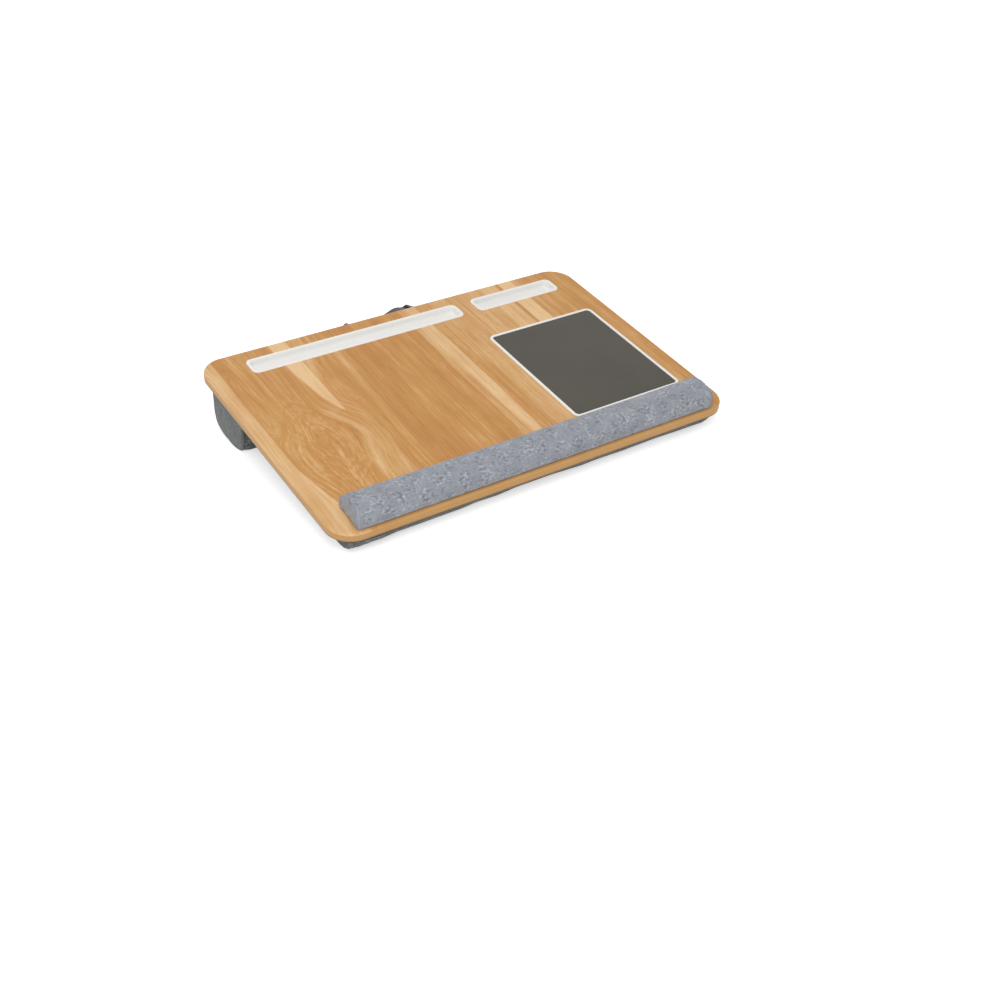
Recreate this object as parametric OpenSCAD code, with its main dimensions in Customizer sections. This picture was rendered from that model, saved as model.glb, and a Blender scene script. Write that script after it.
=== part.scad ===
// Cushioned lap desk: a wood-effect board on two fabric bolsters, with a padded wrist rest,
// two moulded slot trays, a framed mouse pad and a folded fabric carry handle.
// Millimetres. +X right, +Y to the rear, +Z up. It stands on Z = 0, centred on X and Y.
// Board pieces are drawn flat, front edge at y = 0 and underside at z = 0, then tilted.

/* [Board] */
// Width of the board, left to right
board_w = 555; // [450:1:650]
// Depth of the board, front to rear
board_d = 377; // [300:1:450]
// Thickness of the board with its facing
board_t = 10; // [8:0.5:16]
// Radius of the board corners in plan
board_r = 32; // [10:1:60]
// Thickness of the wood-effect facing
facing_t = 0.8; // [0.4:0.1:1.2]
// Radius of the softened top edge
edge_round = 2; // [1.5:0.1:4]
// Thickness of the fabric lining under the board
lining_t = 1; // [0.6:0.1:2]
// Distance from the board edge to the lining
lining_inset = 6; // [2:0.5:15]

/* [Slot trays] */
// Left end of the tablet tray from the left edge
tablet_x = 56; // [30:0.5:90]
// Distance between the two trays
tray_between = 23.5; // [15:0.5:40]
// Length of the phone tray over its flange
phone_l = 132; // [80:0.5:160]
// Right end of the phone tray from the right edge
phone_x = 35; // [20:0.5:60]
// Width of both trays over the flange
tray_w = 31.5; // [24:0.5:40]
// Distance from the rear edge to both trays
tray_y = 20.5; // [12:0.5:40]
// Width of the flange round the opening
flange_w = 4.6; // [3:0.1:7]
// Thickness of the flange standing on the facing
flange_t = 1; // [0.6:0.1:2]
// Corner radius of the flange
flange_r = 8; // [4:0.5:12]
// Wall thickness of the trough
tray_wall = 1.4; // [1:0.1:2]
// Corner radius of the opening
slot_r = 6; // [4:0.5:8]
// Radius between the trough walls and its floor
slot_fillet = 4.5; // [1:0.5:5.5]
// Gap between a trough and its cut-out
tray_gap = 0.3; // [0.1:0.05:1]

/* [Mouse pad] */
// Width of the pad frame
pad_w = 166; // [120:1:200]
// Depth of the pad frame
pad_d = 202; // [150:1:240]
// Distance from the right edge to the pad frame
pad_x = 27; // [15:0.5:50]
// Distance from the front edge to the pad frame
pad_y = 65; // [55:0.5:90]
// Corner radius of the pad frame
pad_r = 9; // [4:0.5:16]
// Width of the frame band
frame_w = 4; // [2:0.5:8]
// Height of the frame above the facing
frame_proud = 0.8; // [0.2:0.1:2]
// Depth of the pad recess below the facing surface
recess_t = 1.8; // [1:0.1:3]
// Thickness of the foam layer under the mouse pad
pad_foam_t = 1.2; // [0.6:0.1:2]
// Thickness of the mouse pad sheet
pad_sheet_t = 1; // [0.5:0.1:2]
// Gap between the pad, its frame and the recess
pad_gap = 0.15; // [0.05:0.05:0.5]

/* [Wrist rest] */
// Distance from each side edge to the wrist rest
wrist_x = 27.5; // [10:0.5:60]
// Width of the wrist rest
wrist_w = 48; // [35:0.5:60]
// Height of the wrist rest above the facing
wrist_h = 23.5; // [12:0.5:30]
// Distance from the front edge to the wrist rest
wrist_y = 5; // [2:0.5:15]
// Fullness of the wrist rest profile
wrist_n = 2.7; // [2:0.1:4]
// Draw-in of the wrist rest at each end
wrist_end = 6; // [3:0.5:20]
// Corner radius of the wrist rest in plan
wrist_r = 5; // [3:0.5:12]
// Thickness of the wrist rest fabric
wrist_fabric = 1; // [0.6:0.1:2]
// Thickness of the stiff strip under the foam
wrist_base_t = 1.6; // [1:0.1:3]

/* [Bolsters] */
// Fabric thickness of both bolsters
cover_t = 1.2; // [0.8:0.1:2.5]
// Distance from the rear edge to the rear bolster centre
rear_back = 71; // [60:1:110]
// Width of the rear bolster, front to rear
rear_w = 80; // [50:1:110]
// Depth of the rear bolster below the lining
rear_drop = 60; // [40:1:90]
// Distance from each side edge to the rear bolster
rear_x = 5; // [0:0.5:40]
// Fullness of the rear bolster profile
rear_n = 2.9; // [2:0.1:4]
// Draw-in of the rear bolster near each end
rear_end = 12; // [6:1:40]
// Distance from the front edge to the front bolster centre
front_y = 54; // [35:1:80]
// Width of the front bolster, front to rear
front_w = 101; // [60:1:120]
// Depth of the front bolster below the lining
front_drop = 26; // [15:1:45]
// Distance from each side edge to the front bolster
front_x = 12; // [0:0.5:40]
// Fullness of the front bolster profile
front_n = 2.3; // [2:0.1:4]
// Draw-in of the front bolster near each end
front_end = 12; // [4:1:30]
// Size of the bolster end panels against the full section
end_scale = 0.92; // [0.6:0.01:1]
// Depth by which the resting bolsters are pressed flat
rest_cut = 0.6; // [0.5:0.1:2]
// Gap between a fill and its cover
fill_gap = 0.2; // [0.1:0.1:1]

/* [Carry handle] */
// Width of the strap
strap_w = 27; // [18:0.5:40]
// Thickness of the strap
strap_t = 2.4; // [1.5:0.1:4]
// Distance between the two strap legs, centre to centre
strap_span = 120; // [90:1:160]
// Distance from the hinge line to the corner folds
strap_leg = 30; // [20:0.5:60]
// Radius inside the corner folds
fold_r = 3.6; // [2.5:0.1:6]
// Bow of the grip away from the board
strap_bow = 1.2; // [0:0.1:6]
// Rise of the grip toward its right end
strap_lean = 3; // [-8:0.5:8]
// Droop of the strap below the board at rest
strap_droop = 17; // [0:1:80]
// Distance from the rear edge to the hinge line
hinge_y = 2; // [1.5:0.1:6]
// Gap between the hinge line's round end and the strap
hinge_gap = 0.4; // [0.3:0.1:1]
// Length of each fixed strap end under the board
tab_l = 28; // [15:0.5:60]

/* [Staples] */
// Width of a staple crown
staple_w = 11; // [8:0.5:16]
// Thickness of the staple wire
staple_t = 0.7; // [0.5:0.1:1.5]
// Length of the staple legs
staple_l = 7; // [4:0.5:9]
// Gap round each staple leg
staple_gap = 0.05; // [0.02:0.01:0.2]

/* [Node] */
// Sub-part to draw, or all of them

/* [Hidden] */
$fn = 64;

core_t = board_t - facing_t;
tablet_l = board_w - tablet_x - tray_between - phone_l - phone_x;
wrist_l = board_w - 2 * wrist_x;
rear_l = board_w - 2 * rear_x;
front_l = board_w - 2 * front_x;
rear_y = board_d - rear_back;
trough_w = tray_w - 2 * flange_w;
trough_depth = board_t - tray_wall - tray_gap;
tray_cy = board_d - tray_y - tray_w / 2;
tablet_cx = -board_w / 2 + tablet_x + tablet_l / 2;
phone_cx = board_w / 2 - phone_x - phone_l / 2;
pad_cx = board_w / 2 - pad_x - pad_w / 2;
pad_cy = pad_y + pad_d / 2;
wrist_cy = wrist_y + wrist_w / 2;
recess_z = board_t - recess_t;

// The tilt follows from the two bolster depths: both rest on one floor plane.
function reach(a, h, n, t) =
    let (p = n / (n - 1)) pow(pow(a * sin(t), p) + pow(h * cos(t), p), 1 / p);
function settle(t, k) = k == 0 ? t :
    settle(asin((reach(rear_w / 2, rear_drop, rear_n, t)
        - reach(front_w / 2, front_drop, front_n, t)) / (rear_y - front_y)), k - 1);
tilt = settle(7, 8);
board_z = reach(rear_w / 2, rear_drop, rear_n, tilt) - rest_cut
    - rear_y * sin(tilt) + lining_t * cos(tilt);

// Hinge line of the strap in the board's own frame, and the reach of the grip behind it.
hinge_v = board_d + hinge_y;
hinge_z = -strap_t / 2;
grip_top = strap_leg + strap_w / 2 + strap_bow;
grip_back = -2 * fold_r;
front_most = edge_round * cos(tilt) - (board_t - edge_round) * sin(tilt) - edge_round;
rear_most = (hinge_v + grip_top * cos(strap_droop) + grip_back * sin(strap_droop)) * cos(tilt)
    - (hinge_z - grip_top * sin(strap_droop) + grip_back * cos(strap_droop)) * sin(tilt);
board_y = -(front_most + rear_most) / 2;

function to_room(p) = [p[0], board_y + p[1] * cos(tilt) - p[2] * sin(tilt),
    board_z + p[1] * sin(tilt) + p[2] * cos(tilt)];
module on_board() {
    translate([0, board_y, board_z]) rotate([tilt, 0, 0]) children();
}

// Rounded rectangle w by d with corner radius r, centred.
module plan(w, d, r) {
    union() {
        square([w - 2 * r, d], center = true);
        square([w, d - 2 * r], center = true);
        for (x = [-1, 1], y = [-1, 1])
            translate([x * (w / 2 - r), y * (d / 2 - r)]) circle(r);
    }
}

// Slab of thickness t whose edge at z = t is rounded by e; the corners keep true arcs.
module soft_slab(w, d, t, r, e) {
    union() {
        linear_extrude(t - e) plan(w, d, r);
        linear_extrude(t) plan(w - 2 * e, d - 2 * e, r - e);
        for (x = [-1, 1], y = [-1, 1]) translate([x * (w / 2 - r), y * (d / 2 - r), 0])
            rotate_extrude() union() {
                square([r - e, t]);
                square([r, t - e]);
                intersection() {
                    translate([r - e, t - e]) circle(e);
                    square([r, t]);
                }
            }
        for (y = [-1, 1]) translate([0, y * (d / 2 - e), t - e]) rotate([0, 90, 0])
            cylinder(h = w - 2 * r, r = e, center = true);
        for (x = [-1, 1]) translate([x * (w / 2 - e), 0, t - e]) rotate([90, 0, 0])
            cylinder(h = d - 2 * r, r = e, center = true);
    }
}

// Both trough cut-outs, in plan.
module trough_holes() {
    for (s = [[tablet_cx, tablet_l], [phone_cx, phone_l]]) translate([s[0], tray_cy])
        plan(s[1] - 2 * flange_w + 2 * (tray_wall + tray_gap),
            trough_w + 2 * (tray_wall + tray_gap), slot_r + tray_wall + tray_gap);
}

// Legs of the four staples, grown by g; two staples hold each strap end.
module staple_legs(g) {
    for (s = [-1, 1], k = [0.3, 0.75], x = [-1, 1])
        translate([s * strap_span / 2 + x * (staple_w - staple_t) / 2,
            board_d - tab_l * k, -strap_t - staple_t / 2])
            translate([-staple_t / 2 - g, -staple_t / 2 - g, 0])
                cube([staple_t + 2 * g, staple_t + 2 * g, staple_l + g]);
}

// Closed solid from rings of equal count along X.
function side_faces(n, m, o, flip) = [for (j = [0:m - 2]) for (i = [0:n - 1])
    let (a = o + j * n + i, b = o + j * n + (i + 1) % n, c = b + n, d = a + n)
    each (flip ? [[a, c, b], [a, d, c]] : [[a, b, c], [a, c, d]])];
module skin(rings) {
    n = len(rings[0]);
    m = len(rings);
    polyhedron(points = [for (r = rings) each r],
        faces = concat(side_faces(n, m, 0, false),
            [[for (i = [n - 1:-1:0]) i]], [[for (i = [0:n - 1]) (m - 1) * n + i]]),
        convexity = 6);
}

// Open-ended sleeve between an outer and an inner set of rings.
module sleeve(outer, inner) {
    n = len(outer[0]);
    m = len(outer);
    k = n * m;
    function rim(j, flip) = [for (i = [0:n - 1])
        let (a = j * n + i, b = j * n + (i + 1) % n, c = b + k, d = a + k)
        each (flip ? [[a, b, c], [a, c, d]] : [[a, c, b], [a, d, c]])];
    polyhedron(points = concat([for (r = outer) each r], [for (r = inner) each r]),
        faces = concat(side_faces(n, m, 0, false), side_faces(n, m, k, true),
            rim(0, false), rim(m - 1, true)), convexity = 8);
}

// Bolster section: a flat top against the lining and full rounded sides and belly.
// in_t draws it inward by the fabric thickness. Its belly is pressed flat on the floor.
ring_n = 22;
function belly(x, c, w, h, n, s, in_t) = [for (i = [0:ring_n])
    let (a = 180 * i / ring_n, p = to_room([x,
        c + sign(cos(a)) * (w / 2 - in_t) * s * pow(abs(cos(a)), 2 / n),
        -lining_t - in_t - (h * s - 2 * in_t) * pow(sin(a), 2 / n)]))
    [p[0], p[1], max(p[2], in_t)]];
function draw_in(x, half, e) = let (u = max(0, (abs(x) - half + e) / e))
    end_scale + (1 - end_scale) * pow(max(0, 1 - pow(u, 2.4)), 1 / 2.4);
stations = 16;
function bolster(c, w, h, n, l, e, in_t, cut) = [for (j = [0:stations])
    let (x = (l / 2 - cut) * sin(-90 + 180 * j / stations))
    belly(x, c, w, h, n, draw_in(x, l / 2 - cut, e), in_t)];
function end_panel(c, w, h, n, l, side) = [for (x = side > 0
    ? [l / 2 - cover_t, l / 2] : [-l / 2, -l / 2 + cover_t])
    belly(x, c, w, h, n, end_scale, 0)];

// Padded bar from stacked plan loops: crowned on top, drawn in at the ends.
loop_n = 5;
function loop(hx, hy, r, z) = [for (q = [0:3])
    let (sx = q == 0 || q == 3 ? 1 : -1, sy = q < 2 ? 1 : -1)
    each [for (i = [0:loop_n]) let (a = 90 * q + 90 * i / loop_n)
        to_room([sx * (hx - r) + r * cos(a), wrist_cy - sy * (hy - r) - r * sin(a), z])]];
levels = 9;
function pad_loops(in_t, z0) = [for (k = [0:levels])
    let (c = cos(78 * k / levels), h = wrist_h - in_t,
        z = max(z0, h * pow(1 - pow(c, wrist_n), 1 / wrist_n)),
        hy = (wrist_w / 2 - in_t) * c,
        hx = wrist_l / 2 - in_t - wrist_end * (1 - c))
    loop(hx, hy, min(max(wrist_r - in_t, 1), hy * 0.8), board_t + z)];

// Strap as a flat sheet folded over a 45 degree line at each corner. x runs across, y along.
fold_c = -strap_span / 2;
function fold_at(x, y) =
    let (dx = x - fold_c, dy = y - strap_leg,
        t = (dy - dx) / sqrt(2) + PI * fold_r / 2, q = (dx + dy) / sqrt(2),
        a = min(max(t / fold_r, 0), PI) * 180 / PI,
        f = (t < 0 ? t : t > PI * fold_r ? PI * fold_r - t : fold_r * sin(a))
            - PI * fold_r / 2,
        z = -fold_r * (1 - cos(a)))
    [[fold_c + (q - f) / sqrt(2), strap_leg + (q + f) / sqrt(2), z],
        [-sin(a) / sqrt(2), sin(a) / sqrt(2), cos(a)]];
function ease(y) = let (u = min(max(y / strap_leg, 0), 1)) u * u * (3 - 2 * u);
function settle_strap(p) = let (k = p[0] / (strap_span / 2), e = ease(p[1]),
        y = p[1] + strap_bow * max(0, 1 - k * k) * e, z = p[2] + strap_lean * k * e)
    to_room([p[0], hinge_v + y * cos(strap_droop) + z * sin(strap_droop),
        hinge_z - y * sin(strap_droop) + z * cos(strap_droop)]);
strap_from = strap_t / 2 + hinge_gap;
strap_rows = 28;
strap_cols = 8;
strap_to = strap_leg + strap_span / 2;
function row_y(i) = strap_from
    + (strap_to - strap_from) * (i < 22 ? i * 0.0265 : 0.5565 + (i - 21) * 0.4435 / 7);
function strap_row(i, mirrored) =
    let (y = row_y(i), t = y < strap_from + 4 ? strap_t * 0.75 : strap_t,
        h = i == 0 ? strap_t * 0.25 : t / 2)
    concat([for (j = [0:strap_cols]) strap_point(j, y, -h, mirrored)],
        [for (j = [strap_cols:-1:0]) strap_point(j, y, h, mirrored)]);
function strap_point(j, y, h, mirrored) =
    let (s = fold_at(fold_c + (j / strap_cols - 0.5) * strap_w, y), p = s[0] + h * s[1])
    settle_strap([mirrored ? -p[0] : p[0], p[1], p[2]]);

module board_core() color([0.62, 0.47, 0.32]) on_board() difference() {
    translate([0, board_d / 2]) linear_extrude(core_t)
        plan(board_w - 2 * facing_t, board_d - 2 * facing_t, board_r - facing_t);
    translate([0, 0, -1]) linear_extrude(board_t + 2) trough_holes();
    translate([pad_cx, pad_cy, recess_z]) linear_extrude(board_t)
        plan(pad_w + 2 * pad_gap, pad_d + 2 * pad_gap, pad_r + pad_gap);
    staple_legs(staple_gap);
}

module board_facing() color([0.82, 0.62, 0.38]) on_board() difference() {
    translate([0, board_d / 2]) soft_slab(board_w, board_d, board_t, board_r, edge_round);
    translate([0, board_d / 2, -1]) linear_extrude(core_t + 1)
        plan(board_w - 2 * facing_t, board_d - 2 * facing_t, board_r - facing_t);
    translate([0, 0, -1]) linear_extrude(board_t + 2) trough_holes();
    translate([pad_cx, pad_cy, 0]) linear_extrude(board_t + 1)
        plan(pad_w + 2 * pad_gap, pad_d + 2 * pad_gap, pad_r + pad_gap);
}

// Moulded tray: flange on the facing, trough through the board, rounded at its floor.
module tray(cx, l) {
    on_board() translate([cx, tray_cy, board_t]) difference() {
        union() {
            linear_extrude(flange_t) plan(l, tray_w, flange_r);
            translate([0, 0, -trough_depth - tray_wall])
                linear_extrude(trough_depth + tray_wall)
                    plan(l - 2 * flange_w + 2 * tray_wall, trough_w + 2 * tray_wall,
                        slot_r + tray_wall);
        }
        translate([0, 0, flange_t + 1]) rotate([180, 0, 0])
            soft_slab(l - 2 * flange_w, trough_w, trough_depth + flange_t + 1, slot_r,
                slot_fillet);
    }
}
module tablet_tray() color([0.95, 0.95, 0.94]) tray(tablet_cx, tablet_l);
module phone_tray() color([0.95, 0.95, 0.94]) tray(phone_cx, phone_l);

module pad_frame() color([0.95, 0.95, 0.94]) on_board() translate([pad_cx, pad_cy, recess_z])
    linear_extrude(recess_t + frame_proud) difference() {
        plan(pad_w, pad_d, pad_r);
        plan(pad_w - 2 * frame_w, pad_d - 2 * frame_w, pad_r - frame_w);
    }
module pad_layer(z, t) {
    on_board() translate([pad_cx, pad_cy, recess_z + z]) linear_extrude(t)
        plan(pad_w - 2 * frame_w - 2 * pad_gap, pad_d - 2 * frame_w - 2 * pad_gap,
            pad_r - frame_w - pad_gap);
}
module pad_foam() color([0.2, 0.2, 0.2]) pad_layer(0, pad_foam_t);
module mouse_pad() color([0.37, 0.35, 0.33]) pad_layer(pad_foam_t, pad_sheet_t);

module wrist_base() color([0.35, 0.3, 0.26]) on_board() translate([0, wrist_cy, board_t])
    linear_extrude(wrist_base_t) plan(wrist_l - 4 * wrist_fabric - 1,
        wrist_w - 4 * wrist_fabric - 1, wrist_r - wrist_fabric);
module wrist_foam() color([0.85, 0.83, 0.75])
    skin(pad_loops(wrist_fabric + fill_gap, wrist_base_t + 0.1));
module wrist_cover() color([0.58, 0.59, 0.62]) {
    outer = pad_loops(0, 0);
    inner = pad_loops(wrist_fabric, 0);
    n = len(outer[0]);
    m = len(outer);
    k = n * m;
    polyhedron(points = concat([for (r = outer) each r], [for (r = inner) each r]),
        faces = concat(side_faces(n, m, 0, false), side_faces(n, m, k, true),
            [for (i = [0:n - 1]) let (b = (i + 1) % n) each [[i, k + b, b], [i, k + i, k + b]]],
            [[for (i = [0:n - 1]) (m - 1) * n + i]],
            [[for (i = [n - 1:-1:0]) k + (m - 1) * n + i]]), convexity = 8);
}

module underside_lining() color([0.45, 0.46, 0.47]) on_board() difference() {
    translate([0, board_d / 2, -lining_t]) linear_extrude(lining_t)
        plan(board_w - 2 * lining_inset, board_d - 2 * lining_inset, board_r - lining_inset);
    for (s = [-1, 1]) translate([s * strap_span / 2 - strap_w / 2 - staple_gap,
        board_d - tab_l - staple_gap, -lining_t - 1])
        cube([strap_w + 2 * staple_gap, tab_l + 1, lining_t + 2]);
}

module rear_bolster_sleeve() color([0.42, 0.43, 0.43]) sleeve(
    bolster(rear_y, rear_w, rear_drop, rear_n, rear_l, rear_end, 0, cover_t),
    bolster(rear_y, rear_w, rear_drop, rear_n, rear_l, rear_end, cover_t, cover_t));
module rear_bolster_end_left() color([0.42, 0.43, 0.43])
    skin(end_panel(rear_y, rear_w, rear_drop, rear_n, rear_l, -1));
module rear_bolster_end_right() color([0.42, 0.43, 0.43])
    skin(end_panel(rear_y, rear_w, rear_drop, rear_n, rear_l, 1));
module rear_bolster_fill() color([0.93, 0.93, 0.91])
    skin(bolster(rear_y, rear_w, rear_drop, rear_n, rear_l, rear_end, cover_t + fill_gap,
        cover_t + fill_gap));

module front_bolster_sleeve() color([0.42, 0.43, 0.43]) sleeve(
    bolster(front_y, front_w, front_drop, front_n, front_l, front_end, 0, cover_t),
    bolster(front_y, front_w, front_drop, front_n, front_l, front_end, cover_t, cover_t));
module front_bolster_end_left() color([0.42, 0.43, 0.43])
    skin(end_panel(front_y, front_w, front_drop, front_n, front_l, -1));
module front_bolster_end_right() color([0.42, 0.43, 0.43])
    skin(end_panel(front_y, front_w, front_drop, front_n, front_l, 1));
module front_bolster_fill() color([0.93, 0.93, 0.91])
    skin(bolster(front_y, front_w, front_drop, front_n, front_l, front_end, cover_t + fill_gap,
        cover_t + fill_gap));

// The folded carry strap: one sheet from the left hinge line over both folds to the right.
module handle_strap() color([0.52, 0.52, 0.53])
    skin(concat([for (i = [0:strap_rows]) strap_row(i, false)],
        [for (i = [strap_rows - 1:-1:0]) strap_row(i, true)]));

// Fixed end of the strap under the board, with its round end on the hinge line.
module tab(side) {
    on_board() difference() {
        union() {
            translate([side * strap_span / 2 - strap_w / 2, board_d - tab_l, -strap_t])
                cube([strap_w, tab_l + hinge_y, strap_t]);
            translate([side * strap_span / 2, hinge_v, hinge_z]) rotate([0, 90, 0])
                cylinder(h = strap_w, r = strap_t / 2, center = true);
        }
        staple_legs(staple_gap);
    }
}
module anchor_tab_left() color([0.52, 0.52, 0.53]) tab(-1);
module anchor_tab_right() color([0.52, 0.52, 0.53]) tab(1);
module anchor_staples() color([0.7, 0.7, 0.72]) on_board() union() {
    staple_legs(0);
    for (s = [-1, 1], k = [0.3, 0.75])
        translate([s * strap_span / 2 - staple_w / 2, board_d - tab_l * k - staple_t / 2,
            -strap_t - staple_t]) cube([staple_w, staple_t, staple_t]);
}

board_core();
board_facing();
tablet_tray();
phone_tray();
pad_frame();
mouse_pad();
pad_foam();
wrist_base();
wrist_foam();
wrist_cover();
underside_lining();
rear_bolster_sleeve();
rear_bolster_end_left();
rear_bolster_end_right();
rear_bolster_fill();
front_bolster_sleeve();
front_bolster_end_left();
front_bolster_end_right();
front_bolster_fill();
handle_strap();
anchor_tab_left();
anchor_tab_right();
anchor_staples();
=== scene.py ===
"""Cushioned lap desk: wood film, mouldings, mouse pad, wrist rest, bolsters and carry strap."""

import math

import bmesh
import bpy
import numpy as np
from bpy.props import FloatProperty, FloatVectorProperty, PointerProperty
from mathutils import Matrix, Vector


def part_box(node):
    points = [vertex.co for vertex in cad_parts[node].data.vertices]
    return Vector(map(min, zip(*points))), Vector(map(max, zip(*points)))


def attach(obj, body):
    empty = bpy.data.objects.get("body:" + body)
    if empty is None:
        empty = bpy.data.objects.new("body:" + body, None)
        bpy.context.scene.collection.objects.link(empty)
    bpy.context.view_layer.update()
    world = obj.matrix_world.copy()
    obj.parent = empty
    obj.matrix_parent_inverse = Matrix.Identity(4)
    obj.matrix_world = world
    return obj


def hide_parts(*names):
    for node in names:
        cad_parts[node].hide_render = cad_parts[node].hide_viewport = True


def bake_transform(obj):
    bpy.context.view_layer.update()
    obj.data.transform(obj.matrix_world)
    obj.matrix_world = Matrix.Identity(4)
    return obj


bl_info = {
    "name": "Cushioned lap desk",
    "version": (1, 0, 0),
    "blender": (4, 5, 0),
    "location": "3D View > Sidebar > Lap desk",
    "description": "Dresses a lap desk in wood film, mouldings, stuffed cushions and a strap",
    "category": "Object",
}

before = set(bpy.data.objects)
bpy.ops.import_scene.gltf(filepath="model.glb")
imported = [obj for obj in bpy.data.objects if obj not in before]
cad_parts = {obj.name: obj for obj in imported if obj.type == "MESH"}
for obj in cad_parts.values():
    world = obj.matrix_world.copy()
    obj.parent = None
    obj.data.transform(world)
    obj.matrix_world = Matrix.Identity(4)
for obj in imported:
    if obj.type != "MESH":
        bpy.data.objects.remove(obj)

# The board lies tilted on its bolsters. Its pieces are modelled flat, with the front edge at
# y = 0 and the underside at z = 0, and then laid in place.
BOARD_TILT = math.radians(7.606173)
BOARD_ORIGIN = Vector((0.0, -0.2088365, 0.0203272))
TO_ROOM = Matrix.Translation(BOARD_ORIGIN) @ Matrix.Rotation(BOARD_TILT, 4, "X")
TO_BOARD = TO_ROOM.inverted()
MM = 0.001


# ---- Sizes and colours that a user may change ----

def length(name, default, description):
    return FloatProperty(name=name, default=default, description=description,
                         unit="LENGTH", precision=4, min=0.0)


def colour(name, code, description):
    return FloatVectorProperty(name=name, default=plain(code), description=description,
                               subtype="COLOR", size=4, min=0.0, max=1.0)


def plain(code):
    """A web colour such as C89A60 as linear red, green, blue and alpha."""
    parts = [int(code[i:i + 2], 16) / 255 for i in (0, 2, 4)]
    return tuple(c / 12.92 if c <= 0.04045 else ((c + 0.055) / 1.055) ** 2.4
                 for c in parts) + (1.0,)


class LapDeskSizes(bpy.types.PropertyGroup):
    """Sizes of the lap desk's pieces."""
    board_width: length("Board width", 0.555, "Left to right")
    board_depth: length("Board depth", 0.377, "Front to rear")
    board_thickness: length("Board thickness", 0.010, "With its facing")
    tray_width: length("Tray width", 0.0315, "Over the rim, front to rear")
    tray_back: length("Tray setback", 0.0205, "Rear edge of the board to the trays")
    rim_width: length("Rim width", 0.0046, "Flat rim round each slot")
    rim_height: length("Rim height", 0.001, "Rim above the facing")
    rim_corner: length("Rim corner", 0.008, "Corner radius of the rim")
    slot_corner: length("Slot corner", 0.006, "Corner radius of the slot")
    slot_fillet: length("Slot fillet", 0.0045, "Radius at the foot of the slot walls")
    pad_width: length("Pad frame width", 0.166, "Left to right")
    pad_depth: length("Pad frame depth", 0.202, "Front to rear")
    pad_corner: length("Pad frame corner", 0.009, "Corner radius of the frame")
    pad_band: length("Pad frame band", 0.004, "Width of the frame's band")
    strap_width: length("Strap width", 0.027, "Across the strap")
    strap_thickness: length("Strap thickness", 0.0024, "Both layers of the strap")


class LapDeskColours(bpy.types.PropertyGroup):
    """Colours of the lap desk's materials."""
    wood_deep: colour("Wood, deep", "B5773A", "Darkest staves of the film")
    wood_base: colour("Wood, base", "CB9453", "Most of the film")
    wood_pale: colour("Wood, pale", "EDC795", "Sapwood staves of the film")
    moulding: colour("Moulding", "F6F3EF", "Trays and pad frame")
    # Painted shade: the slots are tinted toward this grey near their foot.
    slot_painted_shade: colour("Slot", "F0EFEC", "Painted shade at the foot of the slots")
    pad_sheet: colour("Mouse pad", "545049", "Mouse pad sheet")
    rest_dark: colour("Wrist rest, dark", "74787F", "Dark threads of the wrist rest")
    rest_mid: colour("Wrist rest, middle", "999DA5", "Middle threads of the wrist rest")
    rest_light: colour("Wrist rest, light", "BDC0C8", "Light threads of the wrist rest")
    bolster_dark: colour("Bolster, dark", "4C4F50", "Dark threads of the bolsters")
    bolster_mid: colour("Bolster, middle", "6C6F70", "Middle threads of the bolsters")
    bolster_light: colour("Bolster, light", "8F9293", "Light threads of the bolsters")


def shades_of(colours, cloth, share=1.0):
    """The dark, middle and light colour of a cloth, each times a share."""
    return [tuple(share * c for c in getattr(colours, f"{cloth}_{tone}")[:3]) + (1.0,)
            for tone in ("dark", "mid", "light")]


# ---- Modelling helpers ----

def clear_selection():
    if bpy.context.object and bpy.context.object.mode != "OBJECT":
        bpy.ops.object.mode_set(mode="OBJECT")
    bpy.ops.object.select_all(action="DESELECT")


def take(piece):
    """Makes one object the selected and active one."""
    clear_selection()
    piece.select_set(True)
    bpy.context.view_layer.objects.active = piece
    return piece


def settle(piece):
    """Puts the object's place into its mesh."""
    take(piece)
    bpy.ops.object.transform_apply(location=True, rotation=True, scale=True)
    return piece


def edit(piece):
    take(piece)
    bpy.ops.object.mode_set(mode="EDIT")


def leave():
    bpy.ops.object.mode_set(mode="OBJECT")


def pick(piece, kind, test):
    """In edit mode, selects the faces or edges that pass the test and nothing else."""
    bpy.ops.mesh.select_mode(type=kind)
    bpy.ops.mesh.select_all(action="DESELECT")
    mesh = bmesh.from_edit_mesh(piece.data)
    parts = mesh.faces if kind == "FACE" else mesh.edges
    found = [part for part in parts if test(part)]
    if not found:
        raise RuntimeError(f"{piece.name}: nothing to shape there")
    for part in found:
        part.select_set(True)
    bmesh.update_edit_mesh(piece.data)


def inset(thickness, depth=0.0):
    bpy.ops.mesh.inset(thickness=thickness, depth=depth, use_even_offset=True)


def bevel(offset, segments=4):
    bpy.ops.mesh.bevel(offset=offset, segments=segments, affect="EDGES")


def face_out(piece):
    """Turns all the faces of a piece outward."""
    edit(piece)
    bpy.ops.mesh.select_all(action="SELECT")
    bpy.ops.mesh.normals_make_consistent(inside=False)
    leave()


def add_object(name, data):
    """A new object with that mesh, lamp or camera, in the scene."""
    made = bpy.data.objects.new(name, data)
    bpy.context.scene.collection.objects.link(made)
    return made


def rounded_block(name, size, centre, corner, steps=10):
    """A block with rounded upright edges."""
    clear_selection()
    bpy.ops.mesh.primitive_cube_add(size=1, location=centre)
    piece = bpy.context.object
    piece.name = piece.data.name = name
    piece.scale = size
    settle(piece)
    edit(piece)
    pick(piece, "EDGE", lambda e: abs(e.verts[0].co.z - e.verts[1].co.z) > size[2] / 2)
    bevel(corner, steps)
    leave()
    return piece


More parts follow.
